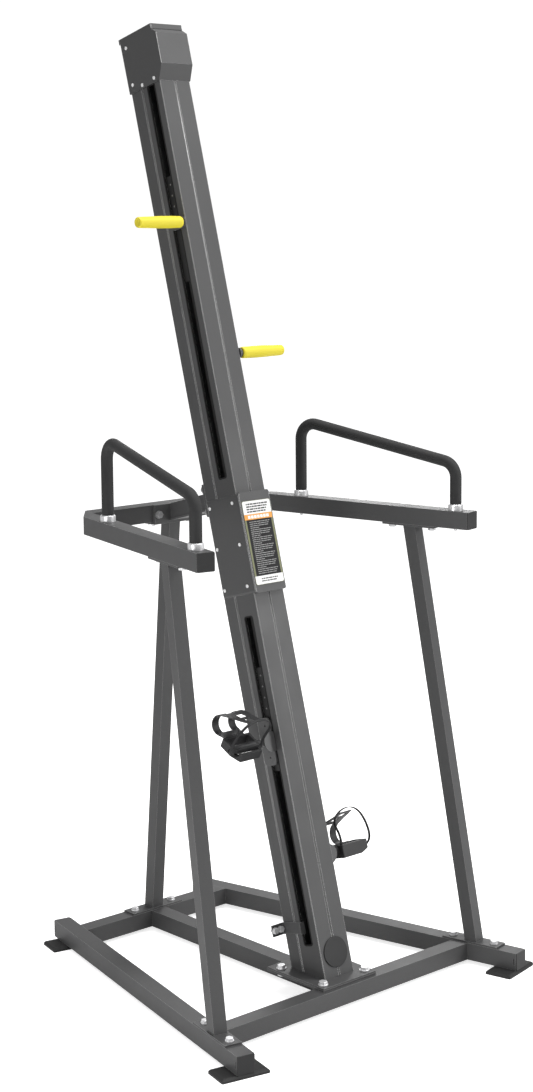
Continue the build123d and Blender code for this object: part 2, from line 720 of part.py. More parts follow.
# ---- stay ---------------------------------------------------------------------------------------

def stay_mast_places():
    """Bolt seats on the stay's flange at the back of the mast, in the mast frame."""
    x, rise = STAY_MAST_BOLT
    seat = MAST_DEPTH + STAY_FLANGE
    return [
        Location((side * x, seat, STAY_T + step), (-90, 0, 0))
        for side in (-1, 1)
        for step in (-rise, rise)
    ]


def stay_rear_places():
    """Bolt seats on the stay's flange in front of the crossbar."""
    seat = CROSSBAR_FRONT_Y - STAY_FLANGE
    middle_z = (ARM_BOTTOM_Z + ARM_TOP_Z) / 2 - 3
    return [Location((side * STAY_REAR_BOLT_X, seat, middle_z), (90, 0, 0)) for side in (-1, 1)]


def stay_tube():
    """Square tube square to the mast, on a wider ledge plate, cut upright at the rear."""
    front = MAST_DEPTH + STAY_FLANGE
    rear = front + 260
    half_x = STAY_HALF_WIDTH
    span = (STAY_T - STAY_HALF_HEIGHT, STAY_T + STAY_HALF_HEIGHT)
    tube = hollow_block((-half_x, half_x), (front, rear), span, TUBE_WALL, 1)
    ledge = STAY_LEDGE_HALF_WIDTH
    tube += block((-ledge, ledge), (front, rear), (span[0] - 4, span[0]))
    behind = block((-100, 100), (CROSSBAR_FRONT_Y - STAY_FLANGE, CROSSBAR_FRONT_Y + 200), (900, 1500))
    return on_mast(tube) - behind


def stay_flanges():
    x, rise = STAY_MAST_FLANGE_X, STAY_MAST_FLANGE_T
    front = block((-x, x), (MAST_DEPTH, MAST_DEPTH + STAY_FLANGE), (STAY_T - rise, STAY_T + rise))
    for place in stay_mast_places():
        front -= place * bolt_hole(M10, STAY_FLANGE)
    rear = block(
        (-STAY_REAR_FLANGE_X, STAY_REAR_FLANGE_X),
        (CROSSBAR_FRONT_Y - STAY_FLANGE, CROSSBAR_FRONT_Y),
        (ARM_BOTTOM_Z - 6, ARM_TOP_Z),
    )
    for place in stay_rear_places():
        rear -= place * bolt_hole(M10, STAY_FLANGE)
    return [on_mast(front), rear]


def stay_bolts():
    front = [on_mast(place * bolt(M10, 16)) for place in stay_mast_places()]
    rear = [place * bolt(M10, 16) for place in stay_rear_places()]
    return front + rear


# ---- stop brackets -----------------------------------------------------------------------------

def stop_ear_places():
    middle = (STOP_SPAN[0] + STOP_SPAN[1]) / 2
    return [Location((x, MAST_DEPTH, middle), (90, 0, 0)) for x in STOP_BOLT_X]


def stop_bracket():
    """Right-hand stop: side plate, lip in front of it, ear with two bolts behind."""
    face = MAST_WIDTH / 2
    outer = face + STOP_THICK
    rear = MAST_DEPTH + STOP_THICK
    bracket = block((face, outer), (STOP_FRONT, rear), STOP_SPAN)
    bracket += block((outer, STOP_LIP_X), (STOP_FRONT, STOP_FRONT + STOP_THICK), STOP_SPAN)
    bracket += block((outer, STOP_EAR_X), (MAST_DEPTH, rear), STOP_SPAN)
    for place in stop_ear_places():
        bracket -= place * bolt_hole(M8, STOP_THICK)
    return on_mast(bracket)


def stop_bolts():
    return [on_mast(place * bolt(M8, 12)) for place in stop_ear_places()]


# ---- chain drive -------------------------------------------------------------------------------

def pulley(along):
    """Grooved pulley turning about an axis from the mast's front to its rear."""
    wheel = Cylinder(PULLEY_FLANGE_RADIUS, PULLEY_WIDTH)
    groove_width = CHAIN_WIDTH + 1.2
    ring = Cylinder(PULLEY_FLANGE_RADIUS + 1, groove_width)
    wheel -= ring - Cylinder(PULLEY_GROOVE_RADIUS, groove_width)
    wheel -= Cylinder(SHAFT_RADIUS + RUNNING_FIT, PULLEY_WIDTH + 1)
    for turn in (0, 120, 240):
        hole = Pos(PULLEY_HOLE_CIRCLE, 0, 0) * Cylinder(PULLEY_HOLE_RADIUS, PULLEY_WIDTH + 1)
        wheel -= Rot(0, 0, turn) * hole
    return on_mast(Location((0, SLOT_MID, along), (90, 0, 0)) * wheel)


def pulley_shafts():
    front = MAST_WALL
    length = MAST_DEPTH - 2 * MAST_WALL
    shaft = Cylinder(SHAFT_RADIUS, length)
    return [
        on_mast(Location((0, front + length / 2, along), (90, 0, 0)) * shaft)
        for along in (PULLEY_LOW_T, PULLEY_HIGH_T)
    ]


def drive_chain():
    middle = (PULLEY_LOW_T + PULLEY_HIGH_T) / 2
    straight = PULLEY_HIGH_T - PULLEY_LOW_T

    def loop(radius, width):
        shape = Pos(0, SLOT_MID, middle) * Box(2 * radius, width, straight)
        for along in (PULLEY_LOW_T, PULLEY_HIGH_T):
            shape += Pos(0, SLOT_MID, along) * Rot(90, 0, 0) * Cylinder(radius, width)
        return shape

    return on_mast(loop(CHAIN_OUTER_RADIUS, CHAIN_WIDTH) - loop(CHAIN_INNER_RADIUS, CHAIN_WIDTH + 2))


# ---- carriages, right-hand side, for a given height above level ------------------------------------

def slide_bar(offset):
    """Bar inside the mast that ties one handle to the pedal below it."""
    pedal_t = PEDAL_MID_T + offset
    handle_t = HANDLE_MID_T + offset
    low = block(SLIDE_X, SLIDE_D, (pedal_t + PEDAL_SLIDE[0], pedal_t + PEDAL_SLIDE[1]))
    high = block(SLIDE_X, SLIDE_D, (handle_t + HANDLE_SLIDE[0], handle_t + HANDLE_SLIDE[1]))
    link = block(LINK_X, LINK_D, (pedal_t + PEDAL_SLIDE[1] - 5, handle_t + HANDLE_SLIDE[0] + 5))
    return on_mast(low + high + link)


def grip_height(offset):
    return HANDLE_MID_T + offset + math.copysign(GRIP_STEP, offset)


def handle_bracket(offset):
    """Neck through the slot, side plate and the spigot the grip is pushed on."""
    along = grip_height(offset)
    face = SIDE_GAP_X + SIDE_PLATE
    neck = block((SLIDE_X[1], SIDE_GAP_X), (SLOT_MID - 9, SLOT_MID + 9), (along - 10, along + 10))
    plate = block((SIDE_GAP_X, face), (HANDLE_AXIS_D - 11, SLOT_MID + 13), (along - 13, along + 13))
    plate = fillet(plate.edges().filter_by(Axis.X), 10)
    spigot = rod_across(HANDLE_BOSS_RADIUS, (face, GRIP_SPAN[1] - GRIP_END_WALL))
    return on_mast(neck + plate + Pos(0, HANDLE_AXIS_D, along) * spigot)


def handle_grip(offset):
    """Swelling closed-end grip, bored for the spigot."""
    along = grip_height(offset)
    start, end = GRIP_SPAN
    outline = [
        (start, 0),
        (start, GRIP_RADIUS - 2.6),
        (start + 3, GRIP_RADIUS - 0.4),
        (start + 30, GRIP_RADIUS),
        (end - 45, GRIP_RADIUS - 0.3),
        (end - 6, GRIP_END_RADIUS),
        (end, GRIP_END_RADIUS - 4.5),
        (end, 0),
    ]
    profile = make_face(Polyline(*outline, close=True))
    body = revolve(profile, axis=Axis.X)
    bore = rod_across(HANDLE_BOSS_RADIUS + RUNNING_FIT, (start, end - GRIP_END_WALL))
    return on_mast(Pos(0, HANDLE_AXIS_D, along) * (body - bore))


def pedal_bracket(offset):
    """Angle along the mast's side: plate with boss, rounded flange turned outward in front."""
    along = PEDAL_MID_T + offset
    face = SIDE_GAP_X + SIDE_PLATE
    span = (along - PEDAL_PLATE_HALF, along + PEDAL_PLATE_HALF)
    plate = block((SIDE_GAP_X, face), PEDAL_PLATE_D, span)
    plate = fillet(plate.edges().filter_by(Axis.X), 12)
    for step in (-PEDAL_HOLE_STEP, PEDAL_HOLE_STEP):
        hole = rod_across(PEDAL_HOLE_RADIUS, (SIDE_GAP_X - 1, face + 1))
        plate -= Pos(0, PEDAL_HOLE_D, along + step) * hole
    boss = rod_across(PEDAL_BOSS_RADIUS, (SLIDE_X[1], PEDAL_BOSS_END))
    boss = fillet(boss.edges().sort_by(Axis.X)[-1], 2.5)
    front, rear = PEDAL_FLANGE_D
    disc = Rot(90, 0, 0) * Cylinder(PEDAL_FLANGE_RADIUS, rear - front)
    flange = Pos(PEDAL_FLANGE_X, (front + rear) / 2, along) * disc
    flange &= block((SIDE_GAP_X, 200), (0, 100), span)
    return on_mast(plate + flange + Pos(0, SLOT_MID, along) * boss)


# ---- pedals: built at the spindle, x outward --------------------------------------------------------

def pedal_place(offset, pitch):
    """Pedal frame on the spindle's axis, level fore and aft before pitching."""
    lean = math.radians(LEAN)
    along = PEDAL_MID_T + offset
    y = MAST_FOOT_Y + along * math.sin(lean) + SLOT_MID * math.cos(lean)
    z = MAST_FOOT_Z + along * math.cos(lean) - SLOT_MID * math.sin(lean)
    return Location((0, y, z), (pitch, 0, 0))


def spindle(offset):
    start = PEDAL_BOSS_END
    collar_end = start + SPINDLE_COLLAR_LENGTH
    shaft = rod_across(SPINDLE_RADIUS, (start, SPINDLE_END))
    collar = rod_across(SPINDLE_COLLAR_RADIUS, (start, collar_end))
    flats = extrude(RegularPolygon(SPINDLE_HEX_RADIUS, 6), SPINDLE_HEX_LENGTH)
    flats = Pos(collar_end, 0, 0) * Rot(0, 90, 0) * flats
    return pedal_place(offset, 0) * (shaft + collar + flats)


def pedal_plan(inset):
    """Outline seen from above, with the deep side's outer corner cut off."""
    x_low, x_high = PEDAL_X
    y_low, y_high = PEDAL_Y
    cut_x, cut_y = PEDAL_CORNER
    slope = 0.4 * inset
    return make_face(Polyline(
        (x_low + inset, y_low + inset),
        (x_high - cut_x - slope, y_low + inset),
        (x_high - inset, y_low + cut_y + slope),
        (x_high - inset, y_high - inset),
        (x_low + inset, y_high - inset),
        close=True,
    ))


def pedal_shell():
    """Outside of the pedal: deep stepped side, sloping floor at the outer end."""
    low, high = PEDAL_BOTTOM, PEDAL_TOP
    shell = Pos(0, 0, low) * extrude(pedal_plan(0), high - low, dir=(0, 0, 1))
    shell = fillet(shell.edges().filter_by(Axis.Z), 3)
    wall_top, tread_in = PEDAL_LEDGE
    y_low, y_high = PEDAL_Y
    step = block((0, 300), (y_low - 1, y_low + tread_in), (wall_top, high + 1))
    rim = block((0, 300), (y_low + tread_in - PEDAL_TREAD, y_high), (low, high))
    end_x, floor_x = PEDAL_X[1] + 3, PEDAL_END_FLOOR_X
    wedge = Polyline((floor_x, low), (end_x, PEDAL_END_BOTTOM), (end_x, low - 1), (floor_x, low - 1),
                     close=True)
    wedge = extrude(Plane.XZ * make_face(wedge), 100, both=True)
    return shell - (step - rim) - wedge


def pedal_slots():
    """Two slots for the strap in the outer end, one of them in the cut corner."""
    x_high = PEDAL_X[1]
    slots = block((x_high - PEDAL_WALL - 2, x_high + 1), PEDAL_SLOT_Y, PEDAL_SLOT_Z)
    cut_x, cut_y = PEDAL_CORNER
    low, high = PEDAL_SLOT_Z
    corner = (x_high - cut_x / 2, PEDAL_Y[0] + cut_y / 2, (low + high) / 2)
    turn = math.degrees(math.atan2(cut_y, cut_x))
    slots += Pos(*corner) * Rot(0, 0, turn) * Box(PEDAL_STRAP_SLOT, 4 * PEDAL_WALL, (high - low) / 2)
    return slots


def turned_round(part):
    """Pedal shape swapped fore and aft: the right pedal is the same part turned round."""
    return Pos(0, sum(PEDAL_Y), 0) * mirror(part, about=Plane.XZ)


def pedal_body(turned):
    """Open pedal: shell with crossbar and grooved rim, round a hub on the spindle."""
    x_low, x_high = PEDAL_X
    inner_x = x_high - PEDAL_WALL
    shell = pedal_shell()
    room = Pos(0, 0, PEDAL_BOTTOM - 1) * extrude(pedal_plan(PEDAL_WALL), 100, dir=(0, 0, 1))
    tread_y = PEDAL_Y[0] + PEDAL_LEDGE[1]
    crossbar = block((x_low + 1, x_high - 1), (tread_y - PEDAL_TREAD, tread_y), (2, PEDAL_TOP))
    body = (shell - room) + (crossbar & shell)
    width, depth = PEDAL_GROOVE
    middle = (PEDAL_WALL - width) / 2
    groove = pedal_plan(middle) - pedal_plan(middle + width)
    body -= Pos(0, 0, PEDAL_TOP - depth) * extrude(groove, 5, dir=(0, 0, 1))
    body -= pedal_slots()
    if turned:
        body = turned_round(body)
    body += rod_across(PEDAL_HUB_RADIUS, (x_low - 10, inner_x + 1))
    return body - rod_across(SPINDLE_RADIUS + RUNNING_FIT, (x_low - 12, SPINDLE_END + 1))


PEDAL_SIDE = Plane(origin=(0, 0, 0), x_dir=(0, 1, 0), z_dir=(1, 0, 0))


def toe_cage():
    """Sheet bent over the toes: two bands in front, a windowed plate over the instep."""
    ribbon = trace(Spline(*CAGE_PATH), line_width=CAGE_THICK)
    low, high = CAGE_X
    sheet = Pos(low, 0, 0) * extrude(PEDAL_SIDE * ribbon, high - low, dir=(1, 0, 0))
    rear, front = CAGE_TAPER_Y
    rear_low, rear_high = CAGE_REAR_X
    plan = [(low, 120), (high, 120), (high, front), (rear_high, rear), (rear_low, rear), (low, front)]
    outline = Pos(0, 0, -60) * extrude(make_face(Polyline(*plan, close=True)), 200, dir=(0, 0, 1))
    cage = sheet & outline
    gap_low, gap_high = CAGE_GAP
    cage -= block(CAGE_GAP, (CAGE_BASE_END, 120), (-60, 60))
    inset = 6
    for start, end in CAGE_TOP_WINDOWS:
        cage -= block((gap_low + 2, gap_high - inset - 2), (start, end), (50, 120))
    return cage


def toe_strap(turned):
    """Narrow strap arched over the cage's rear edge, ending at the pedal's outer wall."""
    ribbon = trace(Spline(*STRAP_PATH), line_width=STRAP_THICK)
    strap = Pos(0, STRAP_Y, 0) * extrude(Plane.XZ * ribbon, STRAP_WIDTH / 2, both=True)
    low = PEDAL_BOTTOM
    room = Pos(0, 0, low) * extrude(pedal_plan(-PIECE_GAP), PEDAL_TOP + PIECE_GAP - low, dir=(0, 0, 1))
    if turned:
        room = turned_round(room)
    return strap - room


def write(name, solids):
    pieces = []
    for item in solids:
        pieces.extend(item.solids())
    shape = pieces[0] if len(pieces) == 1 else Compound(children=pieces)
    shape.label = name
    export_step(shape, f"parts/{name}.step")
    print(f"{name:24s} solids {len(pieces)}")


def write_pair(name, right):
    write(f"{name}_left", [half_turn(right)])
    write(f"{name}_right", [right])


def both_sides(pieces):
    return pieces + [half_turn(piece) for piece in pieces]


def write_frame():
    write_pair("base_rail", side_rail())
    write("front_cross_tube", [front_cross_tube()])
    write("rear_cross_tube", [rear_cross_tube()])
    write("centre_tube", [centre_tube()])
    write_pair("foot_front", rubber_foot(FOOT_FRONT_S))
    write_pair("foot_rear", rubber_foot(FOOT_REAR_S))
    write("rail_end_caps", both_sides(rail_caps()))
    write_pair("leg", side_leg())
    write("leg_rear", [rear_leg()])
    write("leg_plates", leg_plates())
    write("leg_bolts", leg_bolts())
    write_pair("arm", arm())
    write("rear_crossbar", [crossbar()])
    write("arm_end_caps", both_sides([arm_cap()]))
    write_pair("grab_bar", grab_bar())
    write_pair("grab_foam", grab_foam())
    write("grab_bar_collars", both_sides(grab_collars()))
    write("grab_bar_studs", both_sides(grab_studs()))


def write_mast():
    write("mast_profile", [mast_profile()])
    write("mast_mount_plates", mount_plates())
    write("mast_mount_bolts", mount_bolts())
    write("mid_sleeve", [sleeve()])
    write("mid_sleeve_screws", [on_mast(place * pan_screw()) for place in SLEEVE_SCREWS])
    write("label_plate", [label_plate()])
    write("top_cap", [top_cap()])
    write("top_cap_screws", [on_mast(place * pan_screw()) for place in CAP_SCREW_PLACES])
    write("front_round_cap", [round_cap()])
    write("stop_brackets", both_sides([stop_bracket()]))
    write("stop_bolts", both_sides(stop_bolts()))
    write("stay_tube", [stay_tube()])
    write("stay_flanges", stay_flanges())
    write("stay_bolts", stay_bolts())
    write("pulley_low", [pulley(PULLEY_LOW_T)])
    write("pulley_high", [pulley(PULLEY_HIGH_T)])
    write("pulley_shafts", pulley_shafts())
    write("drive_chain", [drive_chain()])


def write_moving():
    builders = {
        "slide_bar": slide_bar,
        "handle_bracket": handle_bracket,
        "handle_grip": handle_grip,
        "pedal_bracket": pedal_bracket,
        "pedal_spindle": spindle,
    }
    for name, build in builders.items():
        write(f"{name}_left", [half_turn(build(REST_OFFSET))])
        write(f"{name}_right", [build(-REST_OFFSET)])
    left = pedal_place(REST_OFFSET, LEFT_PEDAL_PITCH)
    right = pedal_place(-REST_OFFSET, RIGHT_PEDAL_PITCH)
    cage = toe_cage()
    write("pedal_body_left", [half_turn(left * pedal_body(False))])
    write("pedal_body_right", [right * pedal_body(True)])
    write("toe_strap_left", [half_turn(left * toe_strap(False))])
    write("toe_strap_right", [right * toe_strap(True)])
    write("toe_cage_left", [half_turn(left * cage)])
    write("toe_cage_right", [right * cage])


write_frame()
write_mast()
write_moving()
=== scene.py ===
import json
import math
from collections import namedtuple

import bmesh
import bpy
from mathutils import Matrix, Vector


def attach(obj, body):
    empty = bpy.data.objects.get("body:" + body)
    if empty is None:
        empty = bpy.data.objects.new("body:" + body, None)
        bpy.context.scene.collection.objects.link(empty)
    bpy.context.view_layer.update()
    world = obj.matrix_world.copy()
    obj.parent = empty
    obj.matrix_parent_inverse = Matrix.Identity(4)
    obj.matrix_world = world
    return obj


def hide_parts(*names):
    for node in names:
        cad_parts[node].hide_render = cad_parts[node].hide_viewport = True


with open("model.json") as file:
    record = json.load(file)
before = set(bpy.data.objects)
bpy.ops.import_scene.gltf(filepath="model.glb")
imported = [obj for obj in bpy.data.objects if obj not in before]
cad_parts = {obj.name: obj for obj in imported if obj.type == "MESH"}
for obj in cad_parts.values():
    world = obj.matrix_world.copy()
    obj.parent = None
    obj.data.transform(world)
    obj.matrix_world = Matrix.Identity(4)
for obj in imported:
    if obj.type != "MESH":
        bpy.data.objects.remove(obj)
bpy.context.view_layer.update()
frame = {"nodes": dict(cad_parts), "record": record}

# Meshes are built in millimetres, and finish_piece scales them by MM. Matrices are in metres.
MM = 0.001
SIDES = {"left": -1.0, "right": 1.0}

# ---- camera ----------------------------------------------------------------------------------
CAMERA_PLACE = (-3.3629, -3.9426, 1.9856)
CAMERA_AZIMUTH = -44.617
CAMERA_ELEVATION = 8.02
CAMERA_ROLL = 0.05
CAMERA_LENS = 68.47
CAMERA_SENSOR = 36.0
CAMERA_SHIFT = (-0.1221, -0.0538)

# ---- studio ----------------------------------------------------------------------------------
WORLD_LIGHT = 0.41            # strength that lights the machine
WORLD_SEEN = 1.05             # strength that the camera sees
FLOOR_SIZE = 80.0
FLOOR_GLOW = 0.75             # strength that the camera sees

# ---- mast frame: x across, y depth behind the front face, z along the mast -------------------
LEAN = math.radians(15.31)
MAST_AXIS = (0.0, math.sin(LEAN), math.cos(LEAN))
MAST_FOOT = Vector((0.0, -0.3233, 0.065))
MAST = Matrix.Translation(MAST_FOOT) @ Matrix.Rotation(-LEAN, 4, "X")
MAST_HALF = 48.0

# ---- painted highlights: bright lines in the mast's grooves ----------------------------------
FRONT_LINES = {"lower": (108.0, 968.0), "upper": (1227.0, 2292.0)}
FRONT_LINE_HALF = 1.4
SIDE_LINES = ((150.0, 968.0), (1227.0, 2286.0))
SIDE_LINE_HALF = 1.5
SIDE_LINE_DEPTH = 77.5        # middle of the side grooves, behind the front face
LINE_SINK = 1.5               # bottom of the groove below the mast's face
LINE_RISE = 1.05              # height of the bead above that bottom
LINE_STEPS = 8

# ---- waist frame: x outward, y toward the rear along the arm, z up ---------------------------
ARM_FRONT = (0.4643, -0.5104)
ARM_REAR = (0.234, 0.522)
SPLAY = math.atan2(ARM_FRONT[0] - ARM_REAR[0], ARM_REAR[1] - ARM_FRONT[1])
ARM_OUTSET = 6.5
WAIST = Matrix.Translation((*ARM_FRONT, 0.0)) @ Matrix.Rotation(SPLAY, 4, "Z")
WAIST = WAIST @ Matrix.Translation((ARM_OUTSET * MM, 0.0, 0.0))

# ---- grab bar foam ---------------------------------------------------------------------------
FOAM_START_Z = 1203.0
FOAM_REAR = (691.5, 1390.0)   # distance along the arm and height of the rear corner
FOAM_FRONT = (207.5, 1306.0)
FOAM_BEND = 42.0
FOAM_BEND_STEPS = 14
FOAM_PITCH = 12.0             # between the rings of a straight run
FOAM_CORNERS = 28
FOAM_RADIUS = 15.0
FOAM_BORE = 11.1
FOAM_ROLL = (                 # rise from the sleeve's end, radius
    (0.0, FOAM_BORE), (0.0, FOAM_RADIUS - 1.6), (0.4, FOAM_RADIUS - 0.7), (1.6, FOAM_RADIUS),
)
FOAM_ROLL_END = 2.0           # where the straight run takes over

# ---- handle grips: distances from the mast's middle plane ------------------------------------
GRIP_ALONG = {"left": 1922.0, "right": 1580.0}
GRIP_DEPTH = 7.0
GRIP_ROOT = 59.0
GRIP_END = 195.5
GRIP_SHOULDER = ((0.0, 9.3), (0.0, 12.2), (0.8, 13.4), (2.4, 14.3), (5.5, 14.8))   # past the root, radius
GRIP_BODY_START = 10.0        # past the root
GRIP_BODY_STOP = 8.0          # short of the end
GRIP_BODY_STEPS = 14
GRIP_RADIUS = 14.9
GRIP_SWELL = 0.55
GRIP_SWELL_RATE = 1.35
GRIP_TAPER = 2.42
GRIP_TAPER_START = 0.45
GRIP_TIP = ((4.0, 0.25), (1.6, 0.9), (0.4, 1.9), (0.0, 3.0), (0.1, 3.8), (0.8, 4.4))   # to the end, drop
GRIP_DISH = (1.0, 4.0)        # depth and radius of the dished end
GRIP_CREASE = 60.0            # sharpest angle that is shaded smooth
GRIP_CORNERS = 40

# ---- painted shade: near-black lip round the mast's slots ------------------------------------
SLOT_DEPTHS = (26.0, 53.0)
SLOT_CORNER = 4.0
SLOT_SPANS = {"pedal": (89.0, 915.0), "handle": (1271.0, 2286.0)}
SHADE_LIP_FLANGE = 3.5
SHADE_LIP_THICK = 0.4
SHADE_LIP_REACH = 3.4              # how far the lip goes into the slot
SHADE_LIP_SINK = 0.1               # how far the flange sits in the mast's face

# ---- rivets on the slide bars ----------------------------------------------------------------
RIVET_FACE = 43.0             # outer face of the slide bars
RIVET_DEPTH = 39.5            # middle of the slots
RIVET_PITCH = 28.0
RIVET_COUNT = 4
RIVET_CORNERS = 12
RIVET_ROWS = {
    "left": {"handle": 1985.0, "pedal": 725.0},
    "right": {"handle": 1670.0, "pedal": 415.0},
}
RIVET_DOME = ((-0.5, 2.4), (0.0, 2.4), (0.8, 2.1), (1.4, 1.3), (1.6, 0.5))   # rise, radius

# ---- label on the sleeve ---------------------------------------------------------------------
LABEL_HALF = 46.0
LABEL_SPAN = (989.0, 1201.0)
LABEL_FACE = -12.4            # depth of the label plate's front face
LABEL_MARGIN = 0.8
BODY_MARGIN = 5.5
HEADER_HEIGHT = 34.0
BAND_HEIGHT = 14.0
FOOTER_HEIGHT = 22.0
BORDER_CORNER = 4.0
PANEL_CORNER = 5.0
BORDER_PROUD = 0.15           # heights above the label plate's face
BODY_PROUD = 0.25
PANEL_PROUD = 0.35
SMALL_MARK_PROUD = 0.4
MARK_PROUD = 0.5
PANEL_SINK = 0.4              # depths below it
MARK_SINK = 0.2

# ---- marks on the label: a generic stand-in for print ----------------------------------------
Marks = namedtuple("Marks", "left right rows drop pitch height")      # drop is from the panel's top edge
HEADER_MARKS = Marks(left=-34, right=36, rows=4, drop=7, pitch=6.4, height=3.6)
BODY_MARKS = Marks(left=-32, right=33, rows=27, drop=5, pitch=5.0, height=1.7)
FOOTER_MARKS = Marks(left=-26, right=27, rows=2, drop=6, pitch=6.0, height=3.0)
BAND_BLOCKS = Marks(left=-34, right=34, rows=1, drop=3.5, pitch=9.0, height=7.5)
BLOCK_WIDTH = 8
BLOCK_PITCH = 10
SHORT_ROW_RIGHT = 5           # the last row of each group in the body ends here
BAR_SHORTEST = 4.0
BAR_STEP = 2.5
BAR_GAP = 1.4
BAR_LEAST = 3.0               # less room than this at the end of a row stays empty
ROW_RAGGED = 3.0              # step by which rows fall short
ROW_PATTERN = 4               # rows and bars repeat after this many


# ---- camera, lights and floor ----------------------------------------------------------------

def make_camera():
    data = bpy.data.cameras.new("camera")
    camera = bpy.data.objects.new("camera", data)
    bpy.context.scene.collection.objects.link(camera)
    turn, rise = math.radians(CAMERA_AZIMUTH), math.radians(CAMERA_ELEVATION)
    right = Vector((math.cos(turn), math.sin(turn), 0.0))
    back = Vector((math.sin(turn) * math.cos(rise), -math.cos(turn) * math.cos(rise), math.sin(rise)))
    up = back.cross(right)
    pose = Matrix((right, up, back)).transposed().to_4x4()
    roll = Matrix.Rotation(math.radians(CAMERA_ROLL), 4, "Z")
    camera.matrix_world = Matrix.Translation(CAMERA_PLACE) @ pose @ roll
    data.lens = CAMERA_LENS
    data.sensor_width = CAMERA_SENSOR
    data.shift_x, data.shift_y = CAMERA_SHIFT
    bpy.context.scene.camera = camera


def area_light(name, place, target, size, power):
    data = bpy.data.lights.new(name, "AREA")
    data.shape = "DISK"
    data.size = size
    data.energy = power
    light = bpy.data.objects.new(name, data)
    bpy.context.scene.collection.objects.link(light)
    light.location = place
    light.rotation_euler = (Vector(target) - Vector(place)).to_track_quat("-Z", "Y").to_euler()


def set_white(background, strength):
    background.inputs["Color"].default_value = (1.0, 1.0, 1.0, 1.0)
    background.inputs["Strength"].default_value = strength


def make_world():
    """White backdrop to look at, softer light on the machine."""
    world = bpy.data.worlds.new("studio")
    bpy.context.scene.world = world
    world.use_nodes = True
    tree = world.node_tree
    soft = tree.nodes["Background"]
    set_white(soft, WORLD_LIGHT)
    seen = tree.nodes.new("ShaderNodeBackground")
    set_white(seen, WORLD_SEEN)
    path = tree.nodes.new("ShaderNodeLightPath")
    mix = tree.nodes.new("ShaderNodeMixShader")
    tree.links.new(path.outputs["Is Camera Ray"], mix.inputs["Fac"])
    tree.links.new(soft.outputs["Background"], mix.inputs[1])
    tree.links.new(seen.outputs["Background"], mix.inputs[2])
    tree.links.new(mix.outputs["Shader"], tree.nodes["World Output"].inputs["Surface"])


def make_studio():
    bpy.context.scene.view_settings.view_transform = "Standard"
    make_world()
    area_light("key", place=(3.0, -3.0, 6.0), target=(0.0, 0.0, 1.1), size=2.0, power=150)
    area_light("front", place=(3.6, -5.0, 2.2), target=(0.0, 0.0, 1.3), size=1.5, power=92)
    area_light("top", place=(0.4, 0.2, 6.0), target=(0.0, 0.0, 0.6), size=2.5, power=165)
    area_light("rear", place=(3.5, 3.0, 3.0), target=(0.0, 0.0, 1.0), size=1.5, power=38)
    area_light("low", place=(-2.6, -0.6, 0.4), target=(-0.4, 0.0, 0.2), size=1.2, power=22)
    bpy.ops.mesh.primitive_plane_add(size=FLOOR_SIZE, location=(0, 0, 0))
    floor = bpy.context.object
    floor.name = "floor"
    floor.data.materials.append(plain_floor())


# ---- shader building -------------------------------------------------------------------------
NOISE_SPAN = (0.3, 0.7)       # the part of a noise's range that most of it lies in
EDGE_SAMPLES = 4
EDGE_SPAN = (0.995, 0.86)     # dot product of true and rounded normals: where the painted edge highlight starts, and is full
EDGE_AMOUNT = 0.8
ALONG_SPAN = (0.05, 0.2)      # lean of the normal: where the painted edge highlight starts to fade, and has gone


def new_material(name):
    material = bpy.data.materials.new(name)
    material.use_nodes = True
    tree = material.node_tree
    return material, tree, tree.nodes["Principled BSDF"]


def noise_node(tree, scale, detail, stretch=(1.0, 1.0, 1.0)):
    place = tree.nodes.new("ShaderNodeTexCoord")
    mapping = tree.nodes.new("ShaderNodeMapping")
    mapping.inputs["Scale"].default_value = stretch
    noise = tree.nodes.new("ShaderNodeTexNoise")
    noise.inputs["Scale"].default_value = scale
    noise.inputs["Detail"].default_value = detail
    tree.links.new(place.outputs["Object"], mapping.inputs["Vector"])
    tree.links.new(mapping.outputs["Vector"], noise.inputs["Vector"])
    return noise.outputs["Fac"]


def colour_ramp(tree, factor, low, high, target):
    ramp = tree.nodes.new("ShaderNodeValToRGB")
    start, end = ramp.color_ramp.elements
    start.position, end.position = NOISE_SPAN
    start.color = (*low, 1.0)
    end.color = (*high, 1.0)
    tree.links.new(factor, ramp.inputs["Fac"])
    tree.links.new(ramp.outputs["Color"], target)


def map_range(tree, factor, low, high, span=NOISE_SPAN):
    node = tree.nodes.new("ShaderNodeMapRange")
    node.inputs["From Min"].default_value, node.inputs["From Max"].default_value = span
    node.inputs["To Min"].default_value, node.inputs["To Max"].default_value = low, high
    tree.links.new(factor, node.inputs["Value"])
    return node.outputs["Result"]


def dot_product(tree, first):
    """Dot product node with its first input linked; its second is left for the caller."""
    node = tree.nodes.new("ShaderNodeVectorMath")
    node.operation = "DOT_PRODUCT"
    tree.links.new(first, node.inputs[0])
    return node


def add_bump(tree, shader, height, strength, distance):
    bump = tree.nodes.new("ShaderNodeBump")
    bump.inputs["Strength"].default_value = strength
    bump.inputs["Distance"].default_value = distance
    tree.links.new(height, bump.inputs["Height"])
    tree.links.new(bump.outputs["Normal"], shader.inputs["Normal"])


def shade(colour, factor):
    return tuple(min(1.0, channel * factor) for channel in colour)


def grey(level):
    return (level, level, level)


def only_along(tree, normal, along, factor):
    """Scales a factor to nothing where the normal leans toward the given direction."""
    lean = dot_product(tree, normal)
    lean.inputs[1].default_value = along
    size = tree.nodes.new("ShaderNodeMath")
    size.operation = "ABSOLUTE"
    tree.links.new(lean.outputs["Value"], size.inputs[0])
    kept = map_range(tree, size.outputs["Value"], 1.0, 0.0, span=ALONG_SPAN)
    product = tree.nodes.new("ShaderNodeMath")
    product.operation = "MULTIPLY"
    tree.links.new(factor, product.inputs[0])
    tree.links.new(kept, product.inputs[1])
    return product.outputs["Value"]


